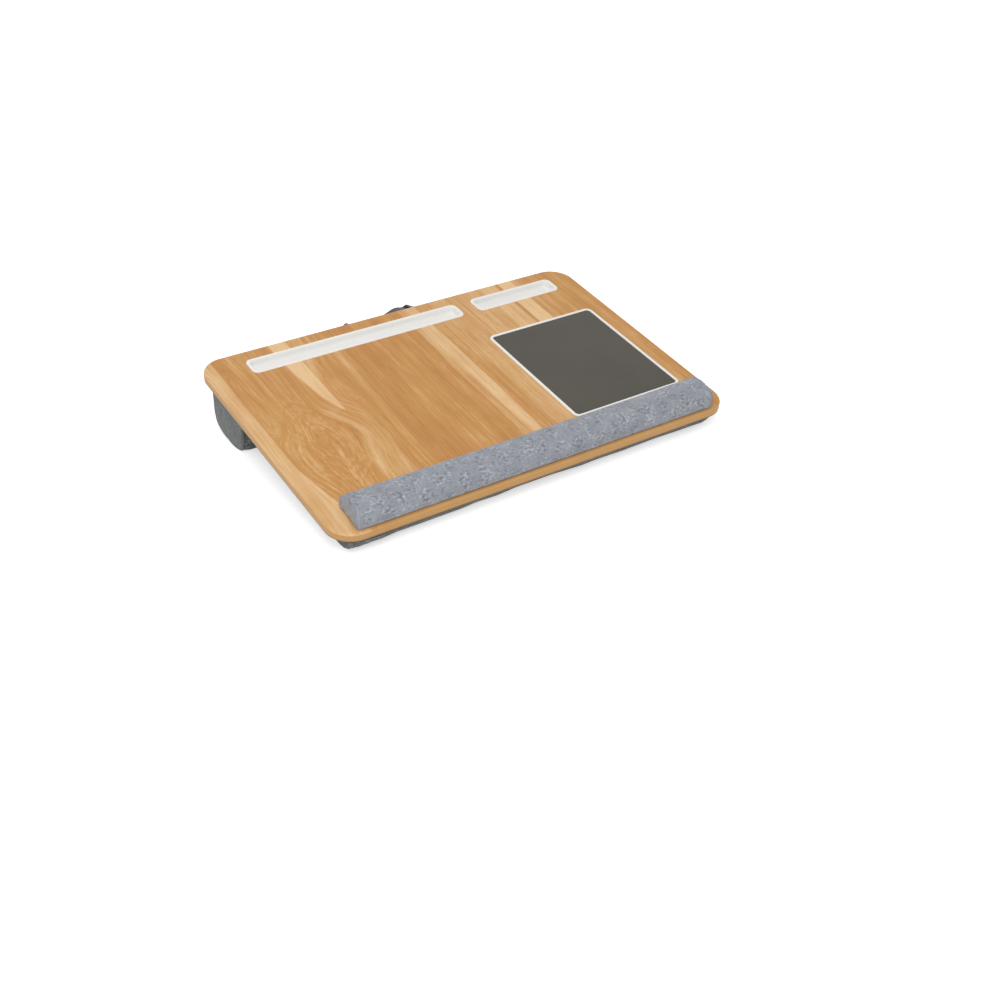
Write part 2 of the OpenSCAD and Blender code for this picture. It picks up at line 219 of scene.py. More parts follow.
def recorner(piece, half, old, new, centre):
    """Gives the corners of the selected face another radius."""
    mesh = bmesh.from_edit_mesh(piece.data)
    for vert in [v for v in mesh.verts if v.select]:
        x, y = vert.co.x - centre[0], vert.co.y - centre[1]
        sx, sy = math.copysign(1, x), math.copysign(1, y)
        a = math.atan2(max(0.0, abs(y) - half[1] + old), max(0.0, abs(x) - half[0] + old))
        vert.co.x = centre[0] + sx * (half[0] - new + new * math.cos(a))
        vert.co.y = centre[1] + sy * (half[1] - new + new * math.sin(a))
    bmesh.update_edit_mesh(piece.data)


def at_height(z):
    return lambda f: abs(f.normal.z) > 0.99 and abs(f.calc_center_median().z - z) < 2e-5


def upper_rim(z):
    """Edges at one height between a level face and an upright one."""
    def test(e):
        if any(abs(v.co.z - z) > 1e-6 for v in e.verts) or len(e.link_faces) != 2:
            return False
        ups = sorted(abs(f.normal.z) for f in e.link_faces)
        return ups[0] < 0.5 and ups[1] > 0.9
    return test


def hollow(radius, steps):
    """Inset and depth of each step round a quarter-circle fillet."""
    turns = [math.pi / 2 * k / steps for k in range(steps + 1)]
    return [(radius * (math.cos(a) - math.cos(b)), radius * (math.sin(b) - math.sin(a)))
            for a, b in zip(turns, turns[1:])]


def smooth(piece, angle=35.0):
    take(piece)
    bpy.ops.object.shade_smooth_by_angle(angle=math.radians(angle))


def apply_modifier(piece, kind, **settings):
    take(piece)
    made = piece.modifiers.new(kind.title(), kind)
    for name, value in settings.items():
        setattr(made, name, value)
    bpy.ops.object.modifier_apply(modifier=made.name)


def points_of(piece):
    co = np.empty(len(piece.data.vertices) * 3, np.float32)
    piece.data.vertices.foreach_get("co", co)
    return co.reshape(-1, 3).astype(float)


def set_points(piece, co):
    piece.data.vertices.foreach_set("co", np.asarray(co, np.float32).ravel())
    piece.data.update()


def dress(piece, material, body="desk", nodes=()):
    """Gives a finished piece its material and the body it rides on."""
    piece.data.materials.clear()
    piece.data.materials.append(material)
    if body:
        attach(piece, body)
    if nodes:
        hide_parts(*nodes)
    return piece


def finish_node(node, made):
    """Gives a carried-over solid its material."""
    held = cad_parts[node].data
    held.materials.clear()
    held.materials.append(made)


def lay_on_desk(piece):
    """Moves a flat-modelled mesh to where the tilted board is."""
    piece.data.transform(TO_ROOM)
    piece.data.update()
    return piece


# ---- Material helpers ----

def feed(tree, made, inputs):
    """Links or sets the inputs of a node."""
    for name, value in inputs.items():
        if isinstance(value, bpy.types.NodeSocket):
            tree.links.new(value, made.inputs[name])
        else:
            made.inputs[name].default_value = value
    return made


def place(tree, kind, inputs=None, **settings):
    made = tree.nodes.new("ShaderNode" + kind)
    for name, value in settings.items():
        setattr(made, name, value)
    return feed(tree, made, inputs or {})


def calc(tree, operation, a, b=0.0):
    return place(tree, "Math", {0: a, 1: b}, operation=operation).outputs[0]


def times(tree, a, b):
    return calc(tree, "MULTIPLY", a, b)


def plus(tree, a, b):
    return calc(tree, "ADD", a, b)


def less(tree, a, b):
    return calc(tree, "SUBTRACT", a, b)


def mix(tree, share, a, b):
    return place(tree, "Mix", {0: share, 6: a, 7: b}, data_type="RGBA").outputs[2]


def span(tree, value, low, high, to_low=0.0, to_high=1.0):
    """Maps a range of values to another, held at both ends."""
    return place(tree, "MapRange", {0: value, 1: low, 2: high, 3: to_low, 4: to_high},
                 clamp=True).outputs[0]


def noise(tree, vector, scale, detail=3.0, rough=0.5):
    return place(tree, "TexNoise", {"Vector": vector, "Scale": scale, "Detail": detail,
                                    "Roughness": rough}).outputs["Fac"]


def stretch(tree, vector, factors):
    return place(tree, "VectorMath", {0: vector, 1: factors}, operation="MULTIPLY").outputs[0]


def grain(tree, vector, factors, detail, rough=0.5):
    """Noise drawn out by its own scale along each axis."""
    return noise(tree, stretch(tree, vector, factors), 1.0, detail, rough)


def ramp(tree, value, stops, steps="LINEAR"):
    made = place(tree, "ValToRGB", {0: value})
    made.color_ramp.interpolation = steps
    marks = made.color_ramp.elements
    while len(marks) < len(stops):
        marks.new(0.5)
    for mark, (at, tone) in zip(marks, stops):
        mark.position = at
        mark.color = tone if isinstance(tone, tuple) else (tone, tone, tone, 1.0)
    return made.outputs[0]


def group(name, inputs, outputs):
    """A node group with named sockets, its input node and its output node."""
    tree = bpy.data.node_groups.new(name, "ShaderNodeTree")
    for label, kind in inputs:
        tree.interface.new_socket(label, in_out="INPUT", socket_type="NodeSocket" + kind)
    for label, kind in outputs:
        tree.interface.new_socket(label, in_out="OUTPUT", socket_type="NodeSocket" + kind)
    return tree, tree.nodes.new("NodeGroupInput"), tree.nodes.new("NodeGroupOutput")


def use(tree, shared, inputs):
    return feed(tree, place(tree, "Group", node_tree=shared), inputs)


def material(name):
    """An empty material, its node tree and its Principled shader."""
    made = bpy.data.materials.new(name)
    made.use_nodes = True
    tree = made.node_tree
    tree.nodes.clear()
    shader = place(tree, "BsdfPrincipled")
    output = place(tree, "OutputMaterial")
    tree.links.new(shader.outputs[0], output.inputs[0])
    return made, tree, shader


def connect(tree, shader, **sockets):
    names = {"colour": "Base Color", "roughness": "Roughness", "normal": "Normal"}
    for name, value in sockets.items():
        tree.links.new(value, shader.inputs[names[name]])


def bump(tree, height, distance, strength=1.0):
    return place(tree, "Bump", {"Height": height, "Distance": distance,
                                "Strength": strength}).outputs[0]


def direct_view(tree):
    """1 where the camera looks, also by mirror or glass, and 1 for its own rays only."""
    seen = place(tree, "LightPath")
    eye = calc(tree, "MAXIMUM", seen.outputs["Is Glossy Ray"],
               seen.outputs["Is Transmission Ray"])
    camera_ray = seen.outputs["Is Camera Ray"]
    return calc(tree, "MAXIMUM", camera_ray, eye), camera_ray


def board_millimetres(tree):
    """Object coordinates in millimetres, turned flat with the board."""
    flat = Matrix.Rotation(-BOARD_TILT, 3, "X")
    where = place(tree, "TexCoord").outputs["Object"]
    return place(tree, "Mapping", {
        "Vector": where, "Location": -1000 * (flat @ BOARD_ORIGIN),
        "Rotation": (-BOARD_TILT, 0.0, 0.0), "Scale": (1000.0, 1000.0, 1000.0)}).outputs[0]


def wear_group():
    """Faint handling marks and dust, as a mask and a height."""
    if "Handling marks" in bpy.data.node_groups:
        return bpy.data.node_groups["Handling marks"]
    tree, given, result = group("Handling marks", [("Millimetres", "Vector")],
                                [("Mask", "Float"), ("Height", "Float")])
    where = given.outputs["Millimetres"]
    clouds = noise(tree, where, 0.02, 4.0, 0.55)
    specks = noise(tree, where, 0.9, 2.0, 0.6)
    scuffs = grain(tree, where, (0.05, 0.6, 0.3), 3.0, 0.6)
    mask = times(tree, span(tree, clouds, 0.42, 0.72), span(tree, scuffs, 0.35, 0.75))
    feed(tree, result, {"Mask": mask, "Height": times(tree, specks, 0.5)})
    return tree


def cloth_group():
    """Melange cloth: light and dark fibres along crossing threads, with the weave's relief."""
    if "Melange cloth" in bpy.data.node_groups:
        return bpy.data.node_groups["Melange cloth"]
    tree, given, result = group("Melange cloth", [
        ("Threads", "Vector"), ("Dark", "Color"), ("Middle", "Color"), ("Light", "Color")],
                                [("Color", "Color"), ("Height", "Float"), ("Fibre", "Float")])
    threads = given.outputs["Threads"]
    parts = place(tree, "SeparateXYZ", {0: threads})
    along = calc(tree, "SINE", times(tree, parts.outputs[0], math.pi / 0.85))
    across = calc(tree, "SINE", times(tree, parts.outputs[1], math.pi / 0.85))
    over = span(tree, times(tree, along, across), -0.35, 0.35)
    warp = grain(tree, threads, (0.30, 1.15, 1.0), 3.0, 0.65)
    weft = grain(tree, threads, (1.15, 0.30, 1.0), 3.0, 0.65)
    fibre = plus(tree, times(tree, warp, over), times(tree, weft, less(tree, 1.0, over)))
    tufts = grain(tree, threads, (0.24, 0.36, 1.0), 4.0, 0.68)
    clouds = noise(tree, threads, 0.055, 3.0, 0.6)
    patches = span(tree, noise(tree, threads, 0.075, 2.0, 0.5), 0.42, 0.60, 0.45, 1.9)
    tufts = plus(tree, times(tree, less(tree, tufts, 0.5), patches), 0.5)
    tone = plus(tree, times(tree, fibre, 0.28),
                plus(tree, times(tree, tufts, 0.48),
                     times(tree, clouds, 0.24)))
    low = mix(tree, span(tree, tone, 0.39, 0.49), given.outputs["Dark"],
              given.outputs["Middle"])
    full = mix(tree, span(tree, tone, 0.52, 0.61), low, given.outputs["Light"])
    relief = plus(tree, times(tree, calc(tree, "ABSOLUTE", times(tree, along, across)), 0.55),
                  times(tree, fibre, 0.6))
    feed(tree, result, {"Color": full, "Height": relief, "Fibre": fibre})
    return tree


# Right edges of the film's staves in millimetres from the left edge, the tone of each from 0,
# deep, to 1, pale, and how softly it meets the next one.
STAVES = ((122, 0.46, 1.0), (140, 0.54, 5.0), (173, 0.41, 12.0), (200, 0.31, 2.0),
          (213, 0.34, 1.5), (233, 0.40, 1.5), (285, 0.39, 3.0), (297, 0.70, 2.0),
          (314, 0.86, 0.3), (334, 0.46, 5.0), (417, 0.64, 3.0), (443, 0.90, 1.0),
          (447, 0.40, 1.0), (470, 1.08, 1.0), (510, 0.50, 10.0), (555, 0.42, 0.0))
# Lines that the grain follows round the figure at the left, as depth and distance from the
# left edge: the sapwood wedge's flank, the flow right of the figure and the one left of it,
# and the border of the pale left stave.
WEDGE = ((60, 124), (205, 121.5), (213, 116), (240, 108), (280, 102), (325, 98), (377, 97))
RIGHT_FLOW = ((60, 104), (90, 105), (110, 108), (135, 114), (155, 118), (170, 116), (185, 110),
              (200, 100), (218, 90), (240, 86), (300, 92), (377, 97))
LEFT_FLOW = ((60, 35), (80, 32), (100, 28), (125, 25), (150, 25), (170, 28), (190, 36),
             (205, 46), (230, 52), (280, 48), (377, 40))
# How far the front bolster's front lies back, along its length from the left, in millimetres.
FRONT_LINE = ((-262, 0.8), (-236, -2.0), (-222, -2.1), (-200, 0.8), (-115, 1.4), (-92, 3.4),
              (-65, 2.2), (-36, 4.8), (15, 4.7), (55, 2.2), (80, 3.0), (115, 1.9), (170, 3.1),
              (225, 0.6), (240, 0.6), (262, 7.5))
FLARE = ((0, 42), (40, 38), (65, 29), (90, 25), (110, 22), (126, 19), (140, 17.5), (377, 17.5))


def track(tree, v, points):
    """A line across the film, in millimetres from the left edge, looked up by depth."""
    stops = [(depth / 377.0, u / 200.0) for depth, u in points]
    return times(tree, ramp(tree, calc(tree, "DIVIDE", v, 377.0), stops, "CARDINAL"), 200.0)


def window(tree, value, rise, full, fade, end):
    return times(tree, span(tree, value, rise, full), span(tree, value, end, fade))


def wood_group(width):
    """Printed wood film: staves, grain that flows round a figure, streaks, ticks and joints."""
    tree, given, result = group("Stave wood", [
        ("Millimetres", "Vector"), ("Deep", "Color"), ("Base", "Color"), ("Pale", "Color")],
                                [("Color", "Color"), ("Roughness", "Float"), ("Height", "Float")])
    where = given.outputs["Millimetres"]
    parts = place(tree, "SeparateXYZ", {0: where})
    u = plus(tree, parts.outputs[0], width / 2)
    v = parts.outputs[1]
    ragged = grain(tree, where, (0.03, 0.02, 0.0), 4.0, 0.6)
    ragged = plus(tree, u, times(tree, less(tree, ragged, 0.5), 3.0))

    stops = []
    for here, after in zip(STAVES, STAVES[1:]):
        stops += [((here[0] - here[2] / 2) / width, here[1]),
                  ((here[0] + here[2] / 2) / width, after[1])]
    soft = ramp(tree, calc(tree, "DIVIDE", ragged, width), stops)
    crisp = ramp(tree, calc(tree, "DIVIDE", u, width), stops)
    stave = mix(tree, window(tree, u, 304.0, 310.0, 318.0, 324.0), soft, crisp)

    # The pale left stave widens toward the front, and a sapwood wedge tapers toward it.
    border = track(tree, v, FLARE)
    past = less(tree, u, border)
    stave = mix(tree, span(tree, past, 1.0, -0.6), stave, (0.79, 0.79, 0.79, 1.0))
    flank = less(tree, u, track(tree, v, WEDGE))
    wedge = times(tree, span(tree, flank, -1.2, 1.6), span(tree, u, 121.2, 120.2))
    wedge = times(tree, wedge, span(tree, v, 203.0, 209.0))
    stave = mix(tree, wedge, stave, (0.92, 0.92, 0.92, 1.0))

    # The grain runs straight along the staves and is pushed aside by the figure.
    aside = times(tree, less(tree, track(tree, v, RIGHT_FLOW), 105.0),
                  window(tree, u, 62.0, 94.0, 122.0, 150.0))
    other = times(tree, less(tree, track(tree, v, LEFT_FLOW), 30.0),
                  window(tree, u, 16.0, 27.0, 42.0, 74.0))
    calm = span(tree, u, 118.0, 150.0, 26.0, 9.0)
    drift = times(tree, less(tree, grain(tree, where, (0.014, 0.0055, 0.0), 2.0), 0.5), calm)
    along = less(tree, plus(tree, u, drift), plus(tree, aside, other))
    swept = place(tree, "CombineXYZ", {0: along, 1: v}).outputs[0]
    lines = grain(tree, swept, (0.30, 0.0085, 0.0), 5.0, 0.68)
    bands = grain(tree, swept, (0.075, 0.0045, 0.0), 3.0, 0.5)
    blush = grain(tree, where, (0.016, 0.008, 0.0), 2.0, 0.5)
    clouds = grain(tree, where, (0.050, 0.020, 0.0), 3.0, 0.55)

    # Growth rings cut at a slant inside the figure.
    ring_u = times(tree, less(tree, u, 72.0), 1 / 46.0)
    ring_v = times(tree, less(tree, v, 158.0), 1 / 105.0)
    reach = calc(tree, "SQRT", plus(tree, times(tree, ring_u, ring_u),
                                    times(tree, ring_v, ring_v)))
    uneven = grain(tree, where, (0.055, 0.022, 0.0), 4.0, 0.6)
    warped = plus(tree, reach, times(tree, uneven, 1.3))
    rings = calc(tree, "SINE", times(tree, warped, 27.0))
    inside = times(tree, span(tree, reach, 1.15, 0.8), span(tree, along, 104.0, 92.0))
    inside = times(tree, inside, span(tree, past, 0.0, 8.0))
    rings = times(tree, rings, inside)

    tone = stave
    for value, middle, weight in ((lines, 0.5, 1.15), (bands, 0.5, 0.70), (clouds, 0.5, 0.45),
                                  (rings, 0.0, -0.085)):
        tone = plus(tree, tone, times(tree, less(tree, value, middle), weight))

    # A pale flow and its dark companion leave the wedge, and the wood in front of it is pale.
    ridge = calc(tree, "ABSOLUTE", less(tree, along, 104.5))
    ridge = times(tree, span(tree, ridge, 6.5, 1.0), window(tree, v, 60.0, 80.0, 205.0, 235.0))
    shade = calc(tree, "ABSOLUTE", less(tree, along, 93.0))
    shade = times(tree, span(tree, shade, 7.0, 1.5),
                  window(tree, v, 128.0, 165.0, 182.0, 205.0))
    ahead = times(tree, window(tree, u, 102.0, 120.0, 132.0, 142.0),
                  span(tree, v, 205.0, 120.0))
    core = times(tree, window(tree, u, 50.0, 66.0, 80.0, 92.0),
                 window(tree, v, 138.0, 158.0, 176.0, 190.0))
    edge = times(tree, window(tree, times(tree, flank, -1.0),
                              1.0, 3.0, 5.0, 13.0), span(tree, v, 205.0, 232.0))
    for value, weight in ((ridge, 0.27), (shade, -0.30), (ahead, 0.13), (core, -0.13),
                          (edge, -0.10)):
        tone = plus(tree, tone, times(tree, value, weight))

    # Dark ticks in clusters, and long pale streaks.
    ticks = grain(tree, swept, (0.62, 0.075, 0.0), 2.0, 0.55)
    ticks = times(tree, span(tree, ticks, 0.60, 0.70), span(tree, clouds, 0.42, 0.60))
    streaks = grain(tree, swept, (0.36, 0.017, 0.0), 2.0, 0.5)
    streaks = times(tree, span(tree, streaks, 0.63, 0.73),
                    span(tree, v, 330.0, 120.0, 0.25, 1.0))
    plainer = span(tree, wedge, 1.0, 0.0)
    plainer = times(tree, plainer, span(tree, past, 0.0, 3.0, 0.25, 1.0))
    tone = plus(tree, tone, times(tree, times(tree, streaks, plainer), 0.30))
    tone = less(tree, tone, times(tree, times(tree, ticks, plainer), 0.33))

    # Thin joints: along the left stave's border and beside the pale stave in the middle.
    joint = window(tree, past, -0.2, 0.3, 0.8, 1.6)
    middle = times(tree, window(tree, u, 313.6, 314.1, 315.0, 316.6),
                   span(tree, ticks, 0.0, 0.4, 0.35, 1.0))
    tone = less(tree, tone, times(tree, joint, 0.12))
    tone = less(tree, tone, times(tree, middle, 0.22))

    body = mix(tree, span(tree, tone, 0.0, 0.45), given.outputs["Deep"], given.outputs["Base"])
    body = mix(tree, span(tree, tone, 0.45, 1.0), body, given.outputs["Pale"])
    body = mix(tree, span(tree, blush, 0.52, 0.75, 0.0, 0.35), body, plain("CC8C52"))
    body = mix(tree, span(tree, blush, 0.48, 0.30, 0.0, 0.30), body, plain("CFA055"))

    # The pressed edge band is plainer than the face.
    side = calc(tree, "MAXIMUM", span(tree, parts.outputs[2], 8.6, 7.9),
                times(tree, span(tree, v, 7.5, 4.5), span(tree, u, 40.0, 75.0)))
    band = grain(tree, where, (0.012, 0.012, 1.6), 3.0, 0.6)
    edge_tone = mix(tree, band, plain("BD8A50"), plain("D9AC70"))
    body = mix(tree, times(tree, side, 0.94), body, edge_tone)
    # Painted shade: the edge darkens toward 7A6550 over its lowest two millimetres, where it turns
    # under.
    body = mix(tree, span(tree, parts.outputs[2], 1.9, 0.9, 0.0, 0.65), body, plain("7A6550"))

    shine = plus(tree, times(tree, lines, 0.16), 0.38)
    feed(tree, result, {"Color": body, "Roughness": shine,
                        "Height": less(tree, lines, times(tree, ticks, 0.6))})
    return tree


def moulding_material(name, colours, slot_top):
    """White moulded plastic, greyed down in the slots as painted shade."""
    made, tree, shader = material(name)
    where = board_millimetres(tree)
    marks = use(tree, wear_group(), {"Millimetres": where})
    height = place(tree, "SeparateXYZ", {0: where}).outputs[2]
    # Painted shade: the moulding turns greyer over the 2.2 mm below the slot's top.
    depth = span(tree, height, slot_top, slot_top - 2.2)
    tint = mix(tree, depth, tuple(colours.moulding), tuple(colours.slot_painted_shade))
    tint = mix(tree, times(tree, marks.outputs["Mask"], 0.10), tint, plain("CFCBC4"))
    texture = noise(tree, where, 3.2, 2.0, 0.5)
    rough = plus(tree, times(tree, texture, 0.12), 0.34)
    connect(tree, shader, colour=tint, roughness=rough,
            normal=bump(tree, texture, 0.00004, 0.5))
    shader.inputs["IOR"].default_value = 1.46
    return made


def cloth_material(name, shades, depth=0.00022, attribute="thread", scale=None):
    """Melange cloth over thread coordinates, in millimetres, that the piece carries."""
    made, tree, shader = material(name)
    if scale:
        where = place(tree, "Mapping", {"Vector": place(tree, "UVMap").outputs[0],
                                        "Scale": scale}).outputs[0]
    else:
        where = place(tree, "Attribute", attribute_name=attribute).outputs["Vector"]
    cloth = use(tree, cloth_group(), {"Threads": where, "Dark": shades[0],
                                      "Middle": shades[1], "Light": shades[2]})
    rough = plus(tree, times(tree, cloth.outputs["Fibre"], 0.2), 0.74)
    connect(tree, shader, colour=cloth.outputs["Color"], roughness=rough,
            normal=bump(tree, cloth.outputs["Height"], depth, 0.9))
    shader.inputs["Sheen Weight"].default_value = 0.25
    shader.inputs["Sheen Roughness"].default_value = 0.5
    shader.inputs["Specular IOR Level"].default_value = 0.25
    return made


def set_threads(piece, along, around):
    """Stores thread coordinates in millimetres on the mesh."""
    store = piece.data.attributes.new("thread", "FLOAT_VECTOR", "POINT")
    values = np.stack([along, around, np.zeros(len(along))], 1) * 1000
    store.data.foreach_set("vector", values.astype(np.float32).ravel())


# ---- Stuffed pieces ----

def stuffed(name, node, voxel, cap, held):
    """A filling copied flat, remeshed evenly and swollen by cloth pressure where it isn't held."""
    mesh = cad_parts[node].data.copy()
    piece = add_object(name, mesh)
    mesh.name = name
    mesh.materials.clear()
    mesh.transform(TO_BOARD)
    edit(piece)
    bpy.ops.mesh.select_all(action="SELECT")
    bpy.ops.mesh.remove_doubles(threshold=1e-5)
    bpy.ops.mesh.normals_make_consistent(inside=False)
    leave()
    apply_modifier(piece, "REMESH", mode="VOXEL", voxel_size=voxel)
    start = points_of(piece)
    pinned = piece.vertex_groups.new(name="held")
    pinned.add([int(i) for i in np.nonzero(held(start))[0]], 1.0, "REPLACE")
    take(piece)
    cloth = piece.modifiers.new("Cloth", "CLOTH")
    cloth.settings.quality = 6
    cloth.settings.mass = 0.3
    cloth.settings.tension_stiffness = cloth.settings.compression_stiffness = 18
    cloth.settings.shear_stiffness = 8
    cloth.settings.bending_stiffness = 0.6
    cloth.settings.use_pressure = True
    cloth.settings.uniform_pressure_force = 4
    cloth.settings.effector_weights.gravity = 0
    cloth.settings.vertex_group_mass = "held"
    cloth.settings.pin_stiffness = 1
    cloth.point_cache.frame_start, cloth.point_cache.frame_end = 1, 20
    scene = bpy.context.scene
    for step in range(1, 21):
        scene.frame_set(step)
    bpy.ops.object.modifier_apply(modifier=cloth.name)
    scene.frame_set(1)
    moved = points_of(piece) - start
    far = np.linalg.norm(moved, axis=1)
    set_points(piece, start + moved * np.minimum(1, cap / np.maximum(far, 1e-9))[:, None])
    piece.vertex_groups.clear()
    apply_modifier(piece, "SUBSURF", levels=1, render_levels=1)
    return piece


def seam(name, piece, point, normal, radius, cloth, body="desk"):
    """A sewn seam: the line where a plane meets a piece, as a thin cord of cloth on it."""
    line = add_object(name, piece.data.copy())
    line.data.name = name
    edit(line)
    bpy.ops.mesh.select_all(action="SELECT")
    bpy.ops.mesh.bisect(plane_co=point, plane_no=normal, clear_inner=True, clear_outer=True)
    bpy.ops.mesh.select_all(action="SELECT")
    bpy.ops.mesh.remove_doubles(threshold=2e-4)
    leave()
    take(line)
    bpy.ops.object.convert(target="CURVE")
    line = bpy.context.object
    line.data.bevel_depth = radius
    line.data.bevel_resolution = 2
    bpy.ops.object.convert(target="MESH")
    line = bpy.context.object
    line.name = line.data.name = name
    bpy.ops.object.shade_smooth()
    co = points_of(line)
    set_threads(line, co[:, 0], co[:, 1] + co[:, 2])
    return dress(line, cloth, body)


def fill_out(across, up, from_end, half, high, power):
    """Scale that brings the mean of a swollen section to its full shape and keeps its waves."""
    ring, turn = ring_of(across, up, half, high, power)
    turns = np.linspace(0.25, math.pi - 0.25, 25)
    body = (from_end > 30 * MM) & (up > 0.12 * high)
    mean = [np.median(ring[body & (np.abs(turn - t) < 0.09)]) for t in turns]
    return 1 / np.interp(turn, turns, mean)


def ring_of(across, up, half, high, power):
    """How far out a point lies in a rounded section, from 0 to 1, and its angle there."""
    a, b = across / half, np.maximum(up, 0) / high
    return np.maximum((np.abs(a) ** power + b ** power) ** (1 / power), 1e-6), np.arctan2(b, a)


def square_end(from_end, ring, reach, share, strength=0.7):
    """Tightens the round where the side turns into the end: new distance and ring scale."""
    p, q = 1 - from_end / reach, (ring - 1 + share) / share
    most = np.clip(np.maximum(p, q), 0.3, 1)
    both = (p > 0) & (q > 0)
    grow = np.where(both, most ** -strength, 1.0)
    return (np.where(both, (1 - p * grow) * reach, from_end),
            np.where(both, (1 - share + share * q * grow) / ring, 1.0))


def waver(a, seed):
    """Smooth unevenness from a few waves of fixed phase."""
    return sum(np.sin(a * k + seed * (1.7 + 0.9 * k)) / k for k in (1, 2.3, 3.7, 5.9)) / 2.0


class LAPDESK_OT_board(bpy.types.Operator):
    """Finishes the board: wood film over a fibreboard core"""
    bl_idname = "lapdesk.board"
    bl_label = "Board"

    def execute(self, context):
        sizes, colours = context.scene.lapdesk_sizes, context.scene.lapdesk_colours
        film, tree, shader = material("Wood film")
        where = board_millimetres(tree)
        wood = use(tree, wood_group(sizes.board_width / MM), {
            "Millimetres": where, "Deep": tuple(colours.wood_deep),
            "Base": tuple(colours.wood_base), "Pale": tuple(colours.wood_pale)})
        marks = use(tree, wear_group(), {"Millimetres": where})
        rough = plus(tree, wood.outputs["Roughness"], times(tree, marks.outputs["Mask"], 0.10))
        connect(tree, shader, colour=wood.outputs["Color"], roughness=rough,
                normal=bump(tree, wood.outputs["Height"], 0.00005, 0.6))
        shader.inputs["Specular IOR Level"].default_value = 0.3

        core, tree, shader = material("Fibreboard")
        where = board_millimetres(tree)
        fibres = noise(tree, stretch(tree, where, (1.0, 1.0, 2.6)), 1.4, 4.0, 0.65)
        tint = mix(tree, fibres, plain("8F6B45"), plain("BE9768"))
        marks = use(tree, wear_group(), {"Millimetres": where})
        tint = mix(tree, times(tree, marks.outputs["Mask"], 0.3), tint, plain("7A5A39"))
        connect(tree, shader, colour=tint, normal=bump(tree, fibres, 0.0001, 0.8))
        shader.inputs["Roughness"].default_value = 0.85
        finish_node("board_facing", film)
        finish_node("board_core", core)
        return {"FINISHED"}


class LAPDESK_OT_trays(bpy.types.Operator):
    """Moulds the two slot trays: a soft rim with a drafted, rounded trough below it"""
    bl_idname = "lapdesk.trays"
    bl_label = "Slot trays"

    def execute(self, context):
        s, colours = context.scene.lapdesk_sizes, context.scene.lapdesk_colours
        finish = moulding_material("White moulding, trays", colours,
                                   (s.board_thickness + s.rim_height) / MM - 1.0)
        top = s.board_thickness + s.rim_height
        lip, wall = 0.9 * MM, 1.4 * MM
        for name, node in (("long_slot_tray", "tablet_tray"), ("short_slot_tray", "phone_tray")):
            low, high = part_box(node)
            wide, cx = high.x - low.x, (low.x + high.x) / 2
            cy = s.board_depth - s.tray_back - s.tray_width / 2
            tray = rounded_block(name, (wide, s.tray_width, s.rim_height),
                                 (cx, cy, top - s.rim_height / 2), s.rim_corner, 10)
            edit(tray)
            pick(tray, "FACE", at_height(top))
            flat = s.rim_width - lip
            inset(flat)
            half = (wide / 2 - flat, s.tray_width / 2 - flat)
            recorner(tray, half, s.rim_corner - flat, s.slot_corner + lip, (cx, cy))
            for inward, down in hollow(0.6 * MM, 3)[::-1]:
                inset(down, -inward)
            deep = 8.3 * MM + s.rim_height - 0.6 * MM - s.slot_fillet
            inset(0.5 * MM, -deep)
            for inward, down in hollow(s.slot_fillet, 6):
                inset(inward, -down)
            pick(tray, "FACE", at_height(s.board_thickness))
            inner = s.rim_width - wall
            inset(inner)
            half = (wide / 2 - inner, s.tray_width / 2 - inner)
            recorner(tray, half, s.rim_corner - inner, s.slot_corner + wall, (cx, cy))
            inset(0.3 * MM, 6.0 * MM)
            for inward, down in hollow(3.6 * MM, 4):
                inset(inward, down)
            pick(tray, "EDGE", lambda e: upper_rim(top)(e) and all(
                any(abs(f.calc_center_median().z - top + s.rim_height / 2) < 1e-4
                    for f in v.link_faces) for v in e.verts))
            bevel(0.45 * MM)
            leave()
            lay_on_desk(tray)
            smooth(tray, 40)
            dress(tray, finish, nodes=(node,))
        return {"FINISHED"}


